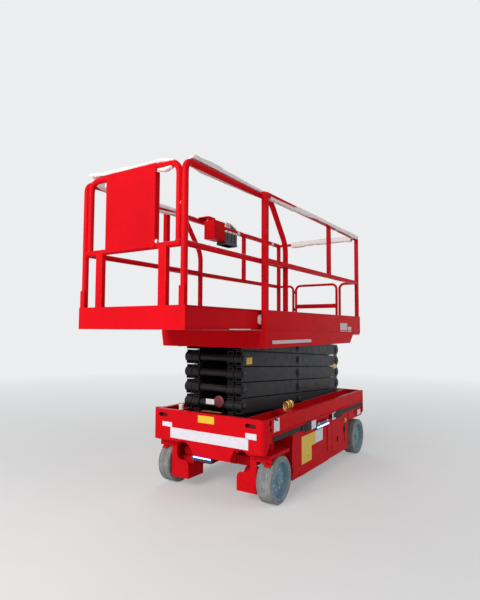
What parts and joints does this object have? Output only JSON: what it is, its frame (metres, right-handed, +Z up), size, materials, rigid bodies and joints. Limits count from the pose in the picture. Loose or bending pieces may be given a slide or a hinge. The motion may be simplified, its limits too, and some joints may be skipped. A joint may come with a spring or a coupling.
{
  "type": "self-propelled scissor lift",
  "caption": "Electric slab scissor lift with a roll-out deck, guard rails, crossed black arms, swing-out side trays and steered front wheels.",
  "frame": {"origin": "on the floor, under the middle of the machine's whole length and width", "axes": "+X towards the steered end and the roll-out deck, +Y to the machine's left, +Z up"},
  "size_m": [3.36, 1.165, 2.5529],
  "materials": {
    "battery_case": "matt",
    "black_paint": "satin",
    "black_rubber": "matt",
    "bright_steel": "polished",
    "control_plastic": "textured",
    "deck_steel": "tread plate",
    "grey_rim": "satin",
    "grey_tyre": "matt",
    "lamp_blue": "gloss",
    "red_board": "satin",
    "red_paint": "gloss",
    "white_foam": "soft foam"
  },
  "bodies": {
    "chassis": {"chassis_frame": "red_paint", "front_panel": "red_paint", "rear_panel": "red_paint", "front_axle_beam": "red_paint", "rear_axle_beam": "red_paint", "entry_ladder": "red_paint", "slide_channels": "black_paint", "side_strips": "black_rubber", "line_lamp_front": "lamp_blue", "steer_cylinder": "black_paint"},
    "tray_left": {"tray_left": "red_paint", "battery_block": "battery_case", "line_lamp_left": "lamp_blue"},
    "pothole_guard_left": {"pothole_guard_left": "black_paint"},
    "knuckle_left": {"knuckle_left": "red_paint"},
    "wheel_front_left": {"tyre_front_left": "grey_tyre", "rim_front_left": "grey_rim"},
    "wheel_rear_left": {"tyre_rear_left": "grey_tyre", "rim_rear_left": "grey_rim"},
    "tray_right": {"tray_right": "red_paint", "hydraulic_block": "battery_case", "line_lamp_right": "lamp_blue"},
    "pothole_guard_right": {"pothole_guard_right": "black_paint"},
    "knuckle_right": {"knuckle_right": "red_paint"},
    "wheel_front_right": {"tyre_front_right": "grey_tyre", "rim_front_right": "grey_rim"},
    "wheel_rear_right": {"tyre_rear_right": "grey_tyre", "rim_rear_right": "grey_rim"},
    "track_rod": {"track_rod": "bright_steel"},
    "inner_arm_1": {"inner_arm_1": "black_paint"},
    "outer_arm_1": {"outer_arm_1": "black_paint"},
    "inner_arm_2": {"inner_arm_2": "black_paint"},
    "outer_arm_2": {"outer_arm_2": "black_paint"},
    "inner_arm_3": {"inner_arm_3": "black_paint"},
    "outer_arm_3": {"outer_arm_3": "black_paint"},
    "inner_arm_4": {"inner_arm_4": "black_paint"},
    "outer_arm_4": {"outer_arm_4": "black_paint"},
    "inner_arm_5": {"inner_arm_5": "black_paint"},
    "outer_arm_5": {"outer_arm_5": "black_paint"},
    "lift_barrel_lower": {"lift_barrel_lower": "black_paint"},
    "lift_rod_lower": {"lift_rod_lower": "bright_steel"},
    "lift_barrel_upper": {"lift_barrel_upper": "black_paint"},
    "lift_rod_upper": {"lift_rod_upper": "bright_steel"},
    "platform": {"platform_frame": "red_paint", "platform_deck": "deck_steel", "toe_boards": "red_paint", "side_rail_left": "red_paint", "side_rail_right": "red_paint", "rear_rails": "red_paint", "control_holder": "red_paint", "control_box": "control_plastic", "foam_main": "white_foam", "foam_gate": "white_foam"},
    "gate": {"entry_gate": "red_paint"},
    "rollout": {"rollout_deck": "red_paint", "rollout_side_rails": "red_paint", "rollout_front_rail": "red_paint", "front_board": "red_board", "foam_rollout": "white_foam"}
  },
  "joints": [
    {"name": "steer_left", "type": "hinge", "parent": "chassis", "child": "knuckle_left", "pos_m": [0.53, 0.4645, 0.446], "axis": [0, 0, 1], "range_deg": [-35, 35]},
    {"name": "steer_right", "type": "hinge", "parent": "chassis", "child": "knuckle_right", "pos_m": [0.53, -0.4645, 0.446], "axis": [0, 0, 1], "range_deg": [-35.5, 35.5]},
    {"name": "track_rod_slide", "type": "slide", "parent": "chassis", "child": "track_rod", "axis": [0, 1, 0], "range_m": [-0.0756, 0.0756]},
    {"name": "roll_front_left", "type": "hinge", "parent": "knuckle_left", "child": "wheel_front_left", "pos_m": [0.53, 0.519, 0.19], "axis": [0, 1, 0], "continuous": true},
    {"name": "roll_front_right", "type": "hinge", "parent": "knuckle_right", "child": "wheel_front_right", "pos_m": [0.53, -0.519, 0.19], "axis": [0, 1, 0], "continuous": true},
    {"name": "roll_rear_left", "type": "hinge", "parent": "chassis", "child": "wheel_rear_left", "pos_m": [-1.35, 0.519, 0.19], "axis": [0, 1, 0], "continuous": true},
    {"name": "roll_rear_right", "type": "hinge", "parent": "chassis", "child": "wheel_rear_right", "pos_m": [-1.35, -0.519, 0.19], "axis": [0, 1, 0], "continuous": true},
    {"name": "tray_swing_left", "type": "hinge", "parent": "chassis", "child": "tray_left", "pos_m": [0.292, 0.566, 0.3], "axis": [0, 0, -1], "range_deg": [0, 80]},
    {"name": "guard_drop_left", "type": "hinge", "parent": "chassis", "child": "pothole_guard_left", "pos_m": [-0.41, 0.505, 0.096], "axis": [1, 0, 0], "range_deg": [0, 90]},
    {"name": "tray_swing_right", "type": "hinge", "parent": "chassis", "child": "tray_right", "pos_m": [0.292, -0.566, 0.3], "axis": [0, 0, 1], "range_deg": [0, 80]},
    {"name": "guard_drop_right", "type": "hinge", "parent": "chassis", "child": "pothole_guard_right", "pos_m": [-0.41, -0.505, 0.096], "axis": [-1, 0, 0], "range_deg": [0, 90]},
    {"name": "lift", "type": "hinge", "parent": "chassis", "child": "inner_arm_1", "pos_m": [0.65, 0, 0.64], "axis": [0, 1, 0], "range_deg": [0, 54]},
    {"name": "middle_pin_1", "type": "hinge", "parent": "inner_arm_1", "child": "outer_arm_1", "pos_m": [-0.39294, 0, 0.7055], "axis": [0, 1, 0], "range_deg": [-108.5, 0]},
    {"name": "front_pin_1", "type": "hinge", "parent": "outer_arm_1", "child": "inner_arm_2", "pos_m": [0.65, 0, 0.771], "axis": [0, 1, 0], "range_deg": [0, 108.5]},
    {"name": "middle_pin_2", "type": "hinge", "parent": "inner_arm_2", "child": "outer_arm_2", "pos_m": [-0.39294, 0, 0.8365], "axis": [0, 1, 0], "range_deg": [-108.5, 0]},
    {"name": "front_pin_2", "type": "hinge", "parent": "outer_arm_2", "child": "inner_arm_3", "pos_m": [0.65, 0, 0.902], "axis": [0, 1, 0], "range_deg": [0, 108.5]},
    {"name": "middle_pin_3", "type": "hinge", "parent": "inner_arm_3", "child": "outer_arm_3", "pos_m": [-0.39294, 0, 0.9675], "axis": [0, 1, 0], "range_deg": [-108.5, 0]},
    {"name": "front_pin_3", "type": "hinge", "parent": "outer_arm_3", "child": "inner_arm_4", "pos_m": [0.65, 0, 1.033], "axis": [0, 1, 0], "range_deg": [0, 108.5]},
    {"name": "middle_pin_4", "type": "hinge", "parent": "inner_arm_4", "child": "outer_arm_4", "pos_m": [-0.39294, 0, 1.0985], "axis": [0, 1, 0], "range_deg": [-108.5, 0]},
    {"name": "front_pin_4", "type": "hinge", "parent": "outer_arm_4", "child": "inner_arm_5", "pos_m": [0.65, 0, 1.164], "axis": [0, 1, 0], "range_deg": [0, 108.5]},
    {"name": "middle_pin_5", "type": "hinge", "parent": "inner_arm_5", "child": "outer_arm_5", "pos_m": [-0.39294, 0, 1.2295], "axis": [0, 1, 0], "range_deg": [-108.5, 0]},
    {"name": "platform_pin", "type": "hinge", "parent": "outer_arm_5", "child": "platform", "pos_m": [0.65, 0, 1.295], "axis": [0, 1, 0], "range_deg": [0, 54.5]},
    {"name": "ram_lower_swing", "type": "hinge", "parent": "inner_arm_1", "child": "lift_barrel_lower", "pos_m": [-1.25125, 0, 0.7594], "axis": [0, 1, 0], "range_deg": [-118.73, 0]},
    {"name": "ram_lower_stroke", "type": "slide", "parent": "lift_barrel_lower", "child": "lift_rod_lower", "axis": [0.9966, 0, 0.0823], "range_m": [0, 0.71833]},
    {"name": "ram_upper_swing", "type": "hinge", "parent": "inner_arm_3", "child": "lift_barrel_upper", "pos_m": [-1.25125, 0, 1.0214], "axis": [0, 1, 0], "range_deg": [-118.73, 0]},
    {"name": "ram_upper_stroke", "type": "slide", "parent": "lift_barrel_upper", "child": "lift_rod_upper", "axis": [0.9966, 0, 0.0823], "range_m": [0, 0.71833]},
    {"name": "rollout_slide", "type": "slide", "parent": "platform", "child": "rollout", "axis": [1, 0, 0], "range_m": [-0.9, 0]},
    {"name": "gate_swing", "type": "hinge", "parent": "platform", "child": "gate", "pos_m": [-1.479, -0.295, 2], "axis": [0, 0, -1], "range_deg": [0, 90]}
  ],
  "couplings": [
    {"joint": "steer_right", "follows": "steer_left", "ratio": 1},
    {"joint": "track_rod_slide", "follows": "steer_left", "m_per_rad": -0.12206},
    {"joint": "middle_pin_1", "follows": "lift", "ratio": -2},
    {"joint": "front_pin_1", "follows": "lift", "ratio": 2},
    {"joint": "middle_pin_2", "follows": "lift", "ratio": -2},
    {"joint": "front_pin_2", "follows": "lift", "ratio": 2},
    {"joint": "middle_pin_3", "follows": "lift", "ratio": -2},
    {"joint": "front_pin_3", "follows": "lift", "ratio": 2},
    {"joint": "middle_pin_4", "follows": "lift", "ratio": -2},
    {"joint": "front_pin_4", "follows": "lift", "ratio": 2},
    {"joint": "middle_pin_5", "follows": "lift", "ratio": -2},
    {"joint": "platform_pin", "follows": "lift", "ratio": 1},
    {"joint": "ram_lower_swing", "follows": "lift", "ratio": -2.1894},
    {"joint": "ram_lower_stroke", "follows": "lift", "m_per_rad": 0.76005},
    {"joint": "ram_upper_swing", "follows": "lift", "ratio": -2.1894},
    {"joint": "ram_upper_stroke", "follows": "lift", "m_per_rad": 0.76005}
  ]
}
